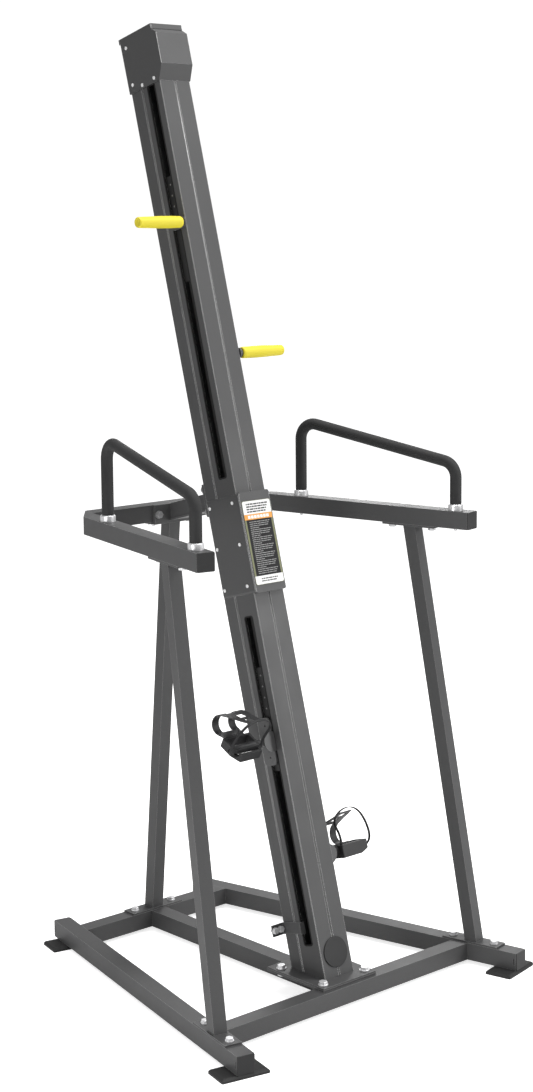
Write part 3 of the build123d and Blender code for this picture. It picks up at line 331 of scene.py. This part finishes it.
def add_edge_highlight(tree, shader, highlight, radius, along):
    """Painted highlight: lightens the finish on sharp edges, or only on those that run one way."""
    finish = shader.inputs["Base Color"].links[0].from_socket
    bevel = tree.nodes.new("ShaderNodeBevel")
    bevel.samples = EDGE_SAMPLES
    bevel.inputs["Radius"].default_value = radius
    geometry = tree.nodes.new("ShaderNodeNewGeometry")
    sameness = dot_product(tree, bevel.outputs["Normal"])
    tree.links.new(geometry.outputs["Normal"], sameness.inputs[1])
    factor = map_range(tree, sameness.outputs["Value"], 0.0, EDGE_AMOUNT, span=EDGE_SPAN)
    if along is not None:
        factor = only_along(tree, bevel.outputs["Normal"], along, factor)
    mix = tree.nodes.new("ShaderNodeMix")
    mix.data_type = "RGBA"
    tree.links.new(factor, mix.inputs["Factor"])
    tree.links.new(finish, mix.inputs["A"])
    mix.inputs["B"].default_value = (*highlight, 1.0)
    tree.links.new(mix.outputs["Result"], shader.inputs["Base Color"])


# ---- kinds of material -----------------------------------------------------------------------
FLOOR_NOISE = (3.0, 4.0)      # scale and detail of a noise
FLOOR_SHADES = (grey(0.90), grey(0.93))
GRAIN_DETAIL = 3.0
BROAD_NOISE = (9.0, 5.0)
GLOSS_SPREAD = (-0.05, 0.06)  # roughness below and above its middle value
LINE_DETAIL = 6.0
METAL_BROAD_NOISE = (14.0, 4.0)
METAL_GLOSS_SPREAD = (-0.06, 0.1)
METAL_SHADES = (0.86, 1.08)   # darkest and lightest shade of a metal's colour
METAL_BUMP = 0.15
METAL_BUMP_DEPTH = 0.0001


def plain_floor():
    material, tree, shader = new_material("studio_floor")
    noise = noise_node(tree, *FLOOR_NOISE)
    colour_ramp(tree, noise, *FLOOR_SHADES, shader.inputs["Base Color"])
    shader.inputs["Roughness"].default_value = 1.0
    shader.inputs["Specular IOR Level"].default_value = 0.0
    shader.inputs["Emission Color"].default_value = (1.0, 1.0, 1.0, 1.0)
    path = tree.nodes.new("ShaderNodeLightPath")
    glow = map_range(tree, path.outputs["Is Camera Ray"], 0.0, FLOOR_GLOW, span=(0.0, 1.0))
    tree.links.new(glow, shader.inputs["Emission Strength"])
    return material


def patch_gloss(tree, shader, factor, rough, spread):
    """Roughness that varies about its middle value with a noise."""
    below, above = spread
    gloss = map_range(tree, factor, rough + below, rough + above)
    tree.links.new(gloss, shader.inputs["Roughness"])


def coated(name, colour, rough, grain=900.0, variation=0.12, bump=0.12, depth=0.0002,
           highlight=None, radius=0.0016, along=None):
    """Paint, rubber or moulded plastic: fine grain in colour and surface, broad patches in gloss, and a
    painted highlight on sharp edges when an edge colour is given.
    """
    material, tree, shader = new_material(name)
    fine = noise_node(tree, grain, GRAIN_DETAIL)
    broad = noise_node(tree, *BROAD_NOISE)
    low, high = shade(colour, 1 - variation), shade(colour, 1 + variation)
    colour_ramp(tree, fine, low, high, shader.inputs["Base Color"])
    patch_gloss(tree, shader, broad, rough, GLOSS_SPREAD)
    add_bump(tree, shader, fine, bump, depth)
    # painted highlight on sharp edges
    if highlight:
        add_edge_highlight(tree, shader, highlight, radius, along)
    return material


def drawn_metal(name, colour, rough, stretch=(1.0, 1.0, 1.0), grain=220.0, metallic=1.0):
    """Bare, plated or painted metal with a drawn, faintly scratched surface."""
    material, tree, shader = new_material(name)
    lines = noise_node(tree, grain, LINE_DETAIL, stretch)
    broad = noise_node(tree, *METAL_BROAD_NOISE)
    low, high = (shade(colour, factor) for factor in METAL_SHADES)
    colour_ramp(tree, lines, low, high, shader.inputs["Base Color"])
    patch_gloss(tree, shader, broad, rough, METAL_GLOSS_SPREAD)
    add_bump(tree, shader, lines, METAL_BUMP, METAL_BUMP_DEPTH)
    shader.inputs["Metallic"].default_value = metallic
    return material


# ---- materials of the CAD pieces, by slot ----------------------------------------------------
PAINT = (0.066, 0.066, 0.067)
DRAWN_ALONG_X = (0.05, 1.0, 1.0)      # scales of a metal's lines: the smallest is the way they run
DRAWN_ALONG_Z = (1.0, 1.0, 0.05)
LINE_ALONG_Z = (1.0, 1.0, 0.02)
# The edge colours given below are painted highlights on sharp edges.
MATERIALS = {
    "frame_paint": coated("frame_paint", PAINT, 0.46, grain=1500, highlight=grey(0.27)),
    "grey_paint": coated("grey_paint", (0.085, 0.085, 0.086), 0.45, grain=1500, highlight=grey(0.2)),
    "foot_rubber": coated("foot_rubber", grey(0.016), 0.62, grain=700, bump=0.3),
    "grip_foam": coated("grip_foam", (0.023, 0.023, 0.0235), 0.72, grain=1600, variation=0.35, bump=0.5,
                        depth=0.0004),
    "yellow_grip": coated("yellow_grip", (0.80, 0.68, 0.03), 0.5, grain=1200, variation=0.05, bump=0.25),
    "black_plastic": coated("black_plastic", (0.014, 0.014, 0.0145), 0.5, grain=1100, bump=0.25,
                            highlight=grey(0.06)),
    "pedal_plastic": coated("pedal_plastic", (0.024, 0.024, 0.025), 0.5, grain=1100, bump=0.3,
                            highlight=grey(0.075)),
    "strap": coated("strap", (0.02, 0.02, 0.021), 0.7, grain=1400, bump=0.5),
    "nylon": coated("nylon", (0.5, 0.49, 0.45), 0.5),
    "label_panel": coated("label_panel", (0.010, 0.010, 0.011), 0.75),
    "zinc": drawn_metal("zinc", (0.86, 0.86, 0.87), 0.32, metallic=0.55),
    "plain_steel": drawn_metal("plain_steel", (0.055, 0.055, 0.056), 0.45, DRAWN_ALONG_Z, metallic=0.3),
    # The slot's name says dark, but the heads of these screws are bright: light plated heads, made pure
    # white as a painted highlight for their glint on the shaded side.
    "dark_screw": drawn_metal("bright_screw", grey(1.0), 0.35, metallic=0.0),
}

# ---- materials of single nodes and of the pieces made here -----------------------------------
# Painted highlight: near-white on the edges of the mast, its sleeve and its cap that run along the mast.
MAST_PAINT = coated("mast_paint", PAINT, 0.46, grain=1500, highlight=grey(0.9), radius=0.003, along=MAST_AXIS)
DARK_STEEL = drawn_metal("dark_steel", grey(0.014), 0.5, DRAWN_ALONG_Z, metallic=0.2)
DULL_STEEL = drawn_metal("dull_steel", (0.30, 0.30, 0.305), 0.45, DRAWN_ALONG_X, metallic=0.4)
NODE_MATERIALS = {
    "mast_profile": MAST_PAINT,
    "mid_sleeve": MAST_PAINT,
    "top_cap": MAST_PAINT,
    "slide_bar_left": DARK_STEEL,
    "slide_bar_right": DARK_STEEL,
    "pedal_spindle_left": DULL_STEEL,
    "pedal_spindle_right": DULL_STEEL,
    "stay_bolts": DULL_STEEL,
}
# Painted shade: near-black and matte, it keeps the slots' cut edges dark.
SLOT_EDGE_SHADE = coated("slot_edge_shade", grey(0.004), 0.8, grain=1100, bump=0.2)
RIVET_METAL = drawn_metal("rivet_metal", grey(0.22), 0.4, metallic=0.3)
# Painted highlights for the grooves: brighter on the mast's upper part than lower down.
GROOVE_HIGHLIGHTS = {
    "upper": drawn_metal("upper_line", grey(0.38), 0.4, LINE_ALONG_Z, metallic=0.2),
    "lower": drawn_metal("lower_line", grey(0.17), 0.4, LINE_ALONG_Z, metallic=0.2),
    "side": drawn_metal("side_line", grey(0.19), 0.4, LINE_ALONG_Z, metallic=0.2),
}
LABEL_WHITE = coated("label_white", (0.88, 0.88, 0.87), 0.35, variation=0.02, bump=0.05)
LABEL_ORANGE = coated("label_orange", (0.84, 0.33, 0.025), 0.35, variation=0.03, bump=0.05)
LABEL_LIME = coated("label_lime", (0.16, 0.17, 0.07), 0.4, variation=0.08, bump=0.05)
LABEL_MARK = coated("label_mark", grey(0.30), 0.4, variation=0.25, bump=0.05)
LABEL_DARK = coated("label_dark", grey(0.03), 0.4, variation=0.2, bump=0.05)


def dress_cad():
    slots = {entry["node"]: entry["material_slot"] for entry in frame["record"]["subparts"]}
    for name, piece in frame["nodes"].items():
        piece.data.materials.clear()
        piece.data.materials.append(NODE_MATERIALS.get(name, MATERIALS[slots[name]]))


# ---- mesh building ---------------------------------------------------------------------------

def mirrored(sign):
    return Matrix.Diagonal((sign, 1.0, 1.0, 1.0))


def finish_piece(name, build, matrix, material, body, smooth=True):
    """Turns a bmesh into an object, in metres, riding on a body."""
    bmesh.ops.recalc_face_normals(build, faces=build.faces)
    build.transform(Matrix.Scale(MM, 4))
    build.transform(matrix)
    if matrix.determinant() < 0:
        bmesh.ops.reverse_faces(build, faces=build.faces)
    mesh = bpy.data.meshes.new(name)
    build.to_mesh(mesh)
    build.free()
    for polygon in mesh.polygons:
        polygon.use_smooth = smooth
    piece = bpy.data.objects.new(name, mesh)
    bpy.context.scene.collection.objects.link(piece)
    mesh.materials.append(material)
    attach(piece, body)
    return piece


def add_loop(build, points):
    return [build.verts.new(point) for point in points]


def add_ring(build, centre, across, up, radius, count):
    turns = [2 * math.pi * index / count for index in range(count)]
    spokes = [across * math.cos(turn) + up * math.sin(turn) for turn in turns]
    return add_loop(build, [centre + spoke * radius for spoke in spokes])


def bridge(build, first, second):
    """Faces between two closed loops of as many corners."""
    count = len(first)
    for index in range(count):
        after = (index + 1) % count
        build.faces.new((first[index], first[after], second[after], second[index]))


def skin_rings(build, rings):
    """Closed skin over a row of rings."""
    build.faces.new(rings[0])
    for before, after in zip(rings, rings[1:]):
        bridge(build, before, after)
    build.faces.new(rings[-1])


def swept_tube(stations, count):
    """Tube through (point, radius) stations lying in the plane x = 0, closed by its end rings."""
    build = bmesh.new()
    points = [point for point, _ in stations]
    across = Vector((1.0, 0.0, 0.0))
    rings = []
    for index, (point, radius) in enumerate(stations):
        ahead = points[min(index + 1, len(points) - 1)]
        behind = points[max(index - 1, 0)]
        forward = (ahead - behind).normalized()
        rings.append(add_ring(build, point, across, forward.cross(across), radius, count))
    skin_rings(build, rings)
    return build


def add_turned(build, seat, profile, count):
    """Body turned about a line through its seat, parallel to X, from (x, radius) stations."""
    up, side = Vector((0, 0, 1)), Vector((0, 1, 0))
    rings = [add_ring(build, seat + Vector((x, 0, 0)), side, up, radius, count) for x, radius in profile]
    skin_rings(build, rings)


def add_slab(build, outline, low, high):
    """Flat panel: outline of (x, z) corners, front face at depth low, back face at depth high."""
    front = add_loop(build, [(x, low, z) for x, z in outline])
    back = add_loop(build, [(x, high, z) for x, z in outline])
    build.faces.new(front)
    build.faces.new(back)
    bridge(build, front, back)


def rounded_rectangle(x_span, z_span, radii, steps=5):
    """Corners of a rectangle, anticlockwise from the lower right, each with its own radius."""
    (x_low, x_high), (z_low, z_high) = x_span, z_span
    corners = ((x_high, z_low, -90), (x_high, z_high, 0), (x_low, z_high, 90), (x_low, z_low, 180))
    outline = []
    for (x, z, start), radius in zip(corners, radii):
        if radius == 0:
            outline.append((x, z))
            continue
        centre_x = x - math.copysign(radius, x - (x_low + x_high) / 2)
        centre_z = z - math.copysign(radius, z - (z_low + z_high) / 2)
        for step in range(steps + 1):
            turn = math.radians(start + 90 * step / steps)
            outline.append((centre_x + radius * math.cos(turn), centre_z + radius * math.sin(turn)))
    return outline


# ---- foam sleeves on the grab bars -----------------------------------------------------------

def corner_arc(before, corner, after):
    """Points of the arc that rounds one corner of the sleeve's path."""
    back = (before - corner).normalized()
    on = (after - corner).normalized()
    half = back.angle(on) / 2
    reach = FOAM_BEND / math.tan(half)
    centre = corner + (back + on).normalized() * (FOAM_BEND / math.sin(half))
    start = corner + back * reach - centre
    end = corner + on * reach - centre
    sweep = start.angle(end)
    axis = start.cross(end).normalized()
    turns = [sweep * step / FOAM_BEND_STEPS for step in range(FOAM_BEND_STEPS + 1)]
    return [centre + Matrix.Rotation(turn, 3, axis) @ start for turn in turns]


def straight(start, end):
    """Points between two ends, without the ends themselves."""
    count = max(2, round((end - start).length / FOAM_PITCH))
    return [start.lerp(end, step / count) for step in range(1, count)]


def foam_stations():
    """Centreline of the sleeve with its radius, which falls off only in the rolled ends."""
    rear_foot = Vector((0, FOAM_REAR[0], FOAM_START_Z))
    rear_top = Vector((0, *FOAM_REAR))
    front_top = Vector((0, *FOAM_FRONT))
    front_foot = Vector((0, FOAM_FRONT[0], FOAM_START_Z))
    rear_bend = corner_arc(rear_foot, rear_top, front_top)
    front_bend = corner_arc(rear_top, front_top, front_foot)
    up = Vector((0, 0, 1))
    middle = straight(rear_foot + up * FOAM_ROLL_END, rear_bend[0]) + rear_bend
    middle += straight(rear_bend[-1], front_bend[0]) + front_bend
    middle += straight(front_bend[-1], front_foot + up * FOAM_ROLL_END)
    stations = [(rear_foot + up * rise, radius) for rise, radius in FOAM_ROLL]
    stations += [(point, FOAM_RADIUS) for point in middle]
    stations += [(front_foot + up * rise, radius) for rise, radius in reversed(FOAM_ROLL)]
    return stations


def make_foam():
    for side, sign in SIDES.items():
        build = swept_tube(foam_stations(), FOAM_CORNERS)
        place = mirrored(sign) @ WAIST
        name = f"foam_sleeve_{side}"
        piece = finish_piece(name, build, place, MATERIALS["grip_foam"], "frame")
        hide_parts(f"grab_foam_{side}")


# ---- yellow grips ----------------------------------------------------------------------------

def grip_radius(share):
    """Radius of the grip's body, a share of the way along: a slight swelling, then a taper."""
    swell = GRIP_SWELL * math.sin(math.pi * min(1.0, share * GRIP_SWELL_RATE))
    taper = GRIP_TAPER * max(0.0, share - GRIP_TAPER_START) ** 1.5
    return GRIP_RADIUS + swell - taper


def grip_profile():
    """Moulded grip with a shouldered root and a dished end, as (x, radius) stations."""
    profile = [(GRIP_ROOT + past, radius) for past, radius in GRIP_SHOULDER]
    start, stop = GRIP_ROOT + GRIP_BODY_START, GRIP_END - GRIP_BODY_STOP
    for step in range(GRIP_BODY_STEPS + 1):
        share = step / GRIP_BODY_STEPS
        profile.append((start + share * (stop - start), grip_radius(share)))
    profile += [(GRIP_END - short, grip_radius(1.0) - drop) for short, drop in GRIP_TIP]
    dish_depth, dish_radius = GRIP_DISH
    profile.append((GRIP_END - dish_depth, dish_radius))
    return profile


def make_grips():
    for side, sign in SIDES.items():
        build = bmesh.new()
        add_turned(build, Vector((0, 0, 0)), grip_profile(), GRIP_CORNERS)
        shift = Matrix.Translation((0.0, GRIP_DEPTH * MM, GRIP_ALONG[side] * MM))
        place = mirrored(sign) @ MAST @ shift
        name = f"moulded_grip_{side}"
        piece = finish_piece(name, build, place, MATERIALS["yellow_grip"], f"{side}_carriage")
        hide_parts(f"handle_grip_{side}")
        crease = piece.modifiers.new("edges", "EDGE_SPLIT")
        crease.split_angle = math.radians(GRIP_CREASE)


# ---- rivets that show through the mast's slots -----------------------------------------------

def make_rivets():
    """Small round heads on the outer face of both slide bars, one mesh for each row."""
    for side, sign in SIDES.items():
        for name, middle in RIVET_ROWS[side].items():
            build = bmesh.new()
            for index in range(RIVET_COUNT):
                along = middle + (index - (RIVET_COUNT - 1) / 2) * RIVET_PITCH
                add_turned(build, Vector((RIVET_FACE, RIVET_DEPTH, along)), RIVET_DOME, RIVET_CORNERS)
            place = mirrored(sign) @ MAST
            finish_piece(f"rivets_{name}_{side}", build, place, RIVET_METAL, f"{side}_carriage")


# ---- painted shade: near-black lip round the mast's slots ------------------------------------

def slot_outline(span, grow):
    """Rounded outline of a slot as (depth, along) corners, grown outward by a margin."""
    low, high = span
    front, rear = SLOT_DEPTHS
    radius = SLOT_CORNER + grow
    return rounded_rectangle((front - grow, rear + grow), (low - grow, high + grow), [radius] * 4)


def slot_shade_lip(span):
    """Thin near-black lip that keeps the slot's cut edges dark, as painted shade: a flange on the mast's
    side face and a sheet along the slot's walls.
    """
    build = bmesh.new()
    inside, seat, outside = MAST_HALF - SHADE_LIP_REACH, MAST_HALF - SHADE_LIP_SINK, MAST_HALF + SHADE_LIP_THICK
    section = (
        (SHADE_LIP_FLANGE, seat), (SHADE_LIP_FLANGE, outside), (-SHADE_LIP_THICK, outside),
        (-SHADE_LIP_THICK, inside), (0.0, inside), (0.0, seat),
    )
    loops = []
    for grow, x in section:
        loops.append(add_loop(build, [(x, depth, along) for depth, along in slot_outline(span, grow)]))
    for index, loop in enumerate(loops):
        bridge(build, loop, loops[(index + 1) % len(loops)])
    return build


def make_slot_shade_lips():
    for side, sign in SIDES.items():
        place = mirrored(sign) @ MAST
        for level, span in SLOT_SPANS.items():
            name = f"slot_shade_lip_{level}_{side}"
            finish_piece(name, slot_shade_lip(span), place, SLOT_EDGE_SHADE, "frame", smooth=False)


# ---- painted highlights: bright lines in the mast's grooves ----------------------------------

def groove_line(half, span):
    """Half-round bright bead on the bottom of a groove, a painted highlight for the groove; x across, y
    into the mast.
    """
    build = bmesh.new()
    turns = [math.pi * step / LINE_STEPS for step in range(LINE_STEPS + 1)]
    section = [(half * math.cos(turn), LINE_SINK - LINE_RISE * math.sin(turn)) for turn in turns]
    low, high = span
    first = add_loop(build, [(x, y, low) for x, y in section])
    last = add_loop(build, [(x, y, high) for x, y in section])
    bridge(build, first, last)
    build.faces.new(first)
    build.faces.new(last)
    return build


def make_groove_lines():
    for level, span in FRONT_LINES.items():
        build = groove_line(FRONT_LINE_HALF, span)
        finish_piece(f"front_line_{level}", build, MAST, GROOVE_HIGHLIGHTS[level], "frame")
    for side, sign in SIDES.items():
        turn = Matrix.Rotation(math.radians(90.0 * sign), 4, "Z")
        at = Matrix.Translation((sign * MAST_HALF * MM, SIDE_LINE_DEPTH * MM, 0.0))
        for index, span in enumerate(SIDE_LINES):
            build = groove_line(SIDE_LINE_HALF, span)
            place = MAST @ at @ turn
            finish_piece(f"side_line_{side}_{index}", build, place, GROOVE_HIGHLIGHTS["side"], "frame")


# ---- label -----------------------------------------------------------------------------------

def label_panel(name, half, z_span, radii, material, proud):
    build = bmesh.new()
    outline = rounded_rectangle((-half, half), z_span, radii)
    add_slab(build, outline, LABEL_FACE - proud, LABEL_FACE + PANEL_SINK)
    finish_piece(name, build, MAST, material, "frame", smooth=False)


def mark_rows(name, rows, marks, top, material, proud):
    """Rows of plain short bars, each given by its left and right edges."""
    build = bmesh.new()
    for row, bars in enumerate(rows):
        high = top - marks.drop - row * marks.pitch
        low = high - marks.height
        for left, right in bars:
            corners = [(left, low), (right, low), (right, high), (left, high)]
            add_slab(build, corners, LABEL_FACE - proud, LABEL_FACE + MARK_SINK)
    finish_piece(name, build, MAST, material, "frame", smooth=False)


def bar_row(row, left, right):
    """Uneven bars that fill a row between two edges, the same on every run."""
    bars = []
    x = left
    limit = right - ROW_RAGGED * ((row * 5) % ROW_PATTERN)
    while x < limit - BAR_LEAST:
        width = BAR_SHORTEST + BAR_STEP * ((row * 7 + len(bars) * 5) % ROW_PATTERN)
        bars.append((x, min(x + width, limit)))
        x += width + BAR_GAP
    return bars


def make_label_panels(low, footer, band, header, high):
    """Border with a pale header and footer, a bright band and a dark body over it."""
    half, body_half = LABEL_HALF - LABEL_MARGIN, LABEL_HALF - BODY_MARGIN
    inner_low, inner_high = low + LABEL_MARGIN, high - LABEL_MARGIN
    square = [0] * 4
    round_top, round_foot = (0, PANEL_CORNER, PANEL_CORNER, 0), (PANEL_CORNER, 0, 0, PANEL_CORNER)
    label_panel("label_border", LABEL_HALF, (low, high), [BORDER_CORNER] * 4, LABEL_LIME, BORDER_PROUD)
    label_panel("label_header", half, (header, inner_high), round_top, LABEL_WHITE, PANEL_PROUD)
    label_panel("label_band", half, (band, header), square, LABEL_ORANGE, PANEL_PROUD)
    label_panel("label_body", body_half, (footer, band), square, MATERIALS["label_panel"], BODY_PROUD)
    label_panel("label_footer", half, (inner_low, footer), round_foot, LABEL_WHITE, PANEL_PROUD)


def ragged_rows(marks):
    return [bar_row(row, marks.left, marks.right) for row in range(marks.rows)]


def body_rows():
    """Ragged rows in groups, with a short row at the foot of each group."""
    rows = []
    for row in range(BODY_MARKS.rows):
        short = row % ROW_PATTERN == ROW_PATTERN - 1
        rows.append(bar_row(row, BODY_MARKS.left, SHORT_ROW_RIGHT if short else BODY_MARKS.right))
    return rows


def block_rows(marks):
    lefts = range(marks.left, marks.right - BLOCK_WIDTH + 1, BLOCK_PITCH)
    return [[(left, left + BLOCK_WIDTH) for left in lefts]] * marks.rows


def make_label():
    low, high = LABEL_SPAN
    header, footer = high - HEADER_HEIGHT, low + FOOTER_HEIGHT
    band = header - BAND_HEIGHT
    make_label_panels(low, footer, band, header, high)
    header_rows, footer_rows = ragged_rows(HEADER_MARKS), ragged_rows(FOOTER_MARKS)
    mark_rows("label_header_marks", header_rows, HEADER_MARKS, high, LABEL_DARK, MARK_PROUD)
    mark_rows("label_body_marks", body_rows(), BODY_MARKS, band, LABEL_MARK, SMALL_MARK_PROUD)
    mark_rows("label_footer_marks", footer_rows, FOOTER_MARKS, footer, LABEL_DARK, MARK_PROUD)
    mark_rows("label_band_blocks", block_rows(BAND_BLOCKS), BAND_BLOCKS, header, LABEL_WHITE, MARK_PROUD)


make_camera()
make_studio()
dress_cad()
make_foam()
make_grips()
make_rivets()
make_slot_shade_lips()
make_groove_lines()
make_label()
